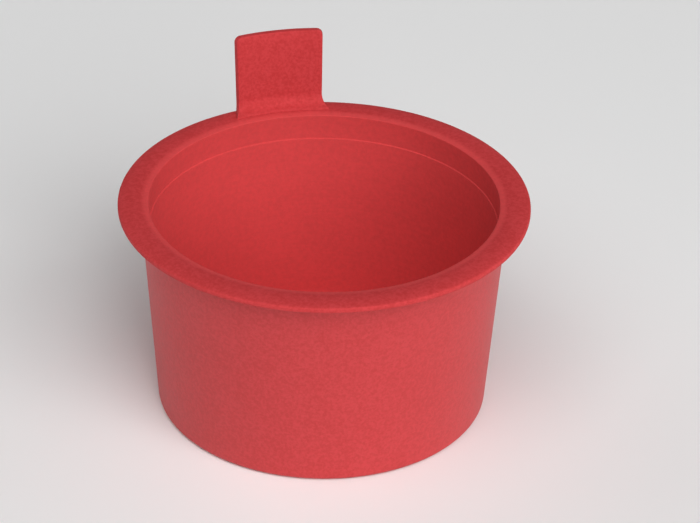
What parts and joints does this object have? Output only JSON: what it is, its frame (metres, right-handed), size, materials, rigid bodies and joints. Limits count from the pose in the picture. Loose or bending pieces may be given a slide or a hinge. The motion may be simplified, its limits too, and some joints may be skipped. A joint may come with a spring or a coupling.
{
  "type": "tapered pull plug",
  "caption": "Round tapered plug moulded as a hollow cup, with a flat lip at its open end and an upright pull tab on the rim.",
  "frame": {"origin": "centre of the closed end's flat foot, on the plug's axis", "axes": "+Z along the plug's axis from the closed end to the open mouth, +Y towards the pull tab on the rim"},
  "size_m": [0.06, 0.0605, 0.0452],
  "materials": {
    "soft_plastic": "satin"
  },
  "bodies": {
    "plug": {"end_wall": "soft_plastic", "tapered_wall": "soft_plastic", "mouth_ring": "soft_plastic", "lip": "soft_plastic", "tab_root": "soft_plastic", "tab_bend": "soft_plastic"},
    "tab": {"pull_tab": "soft_plastic"}
  },
  "joints": [
    {"name": "tab_flex", "type": "hinge", "parent": "plug", "child": "tab", "pos_m": [0, 0.02937, 0.0362], "axis": [-1, 0, 0], "range_deg": [-60, 80], "stiffness_Nm_per_rad": 0.1, "deforming": ["tab_bend"]}
  ]
}
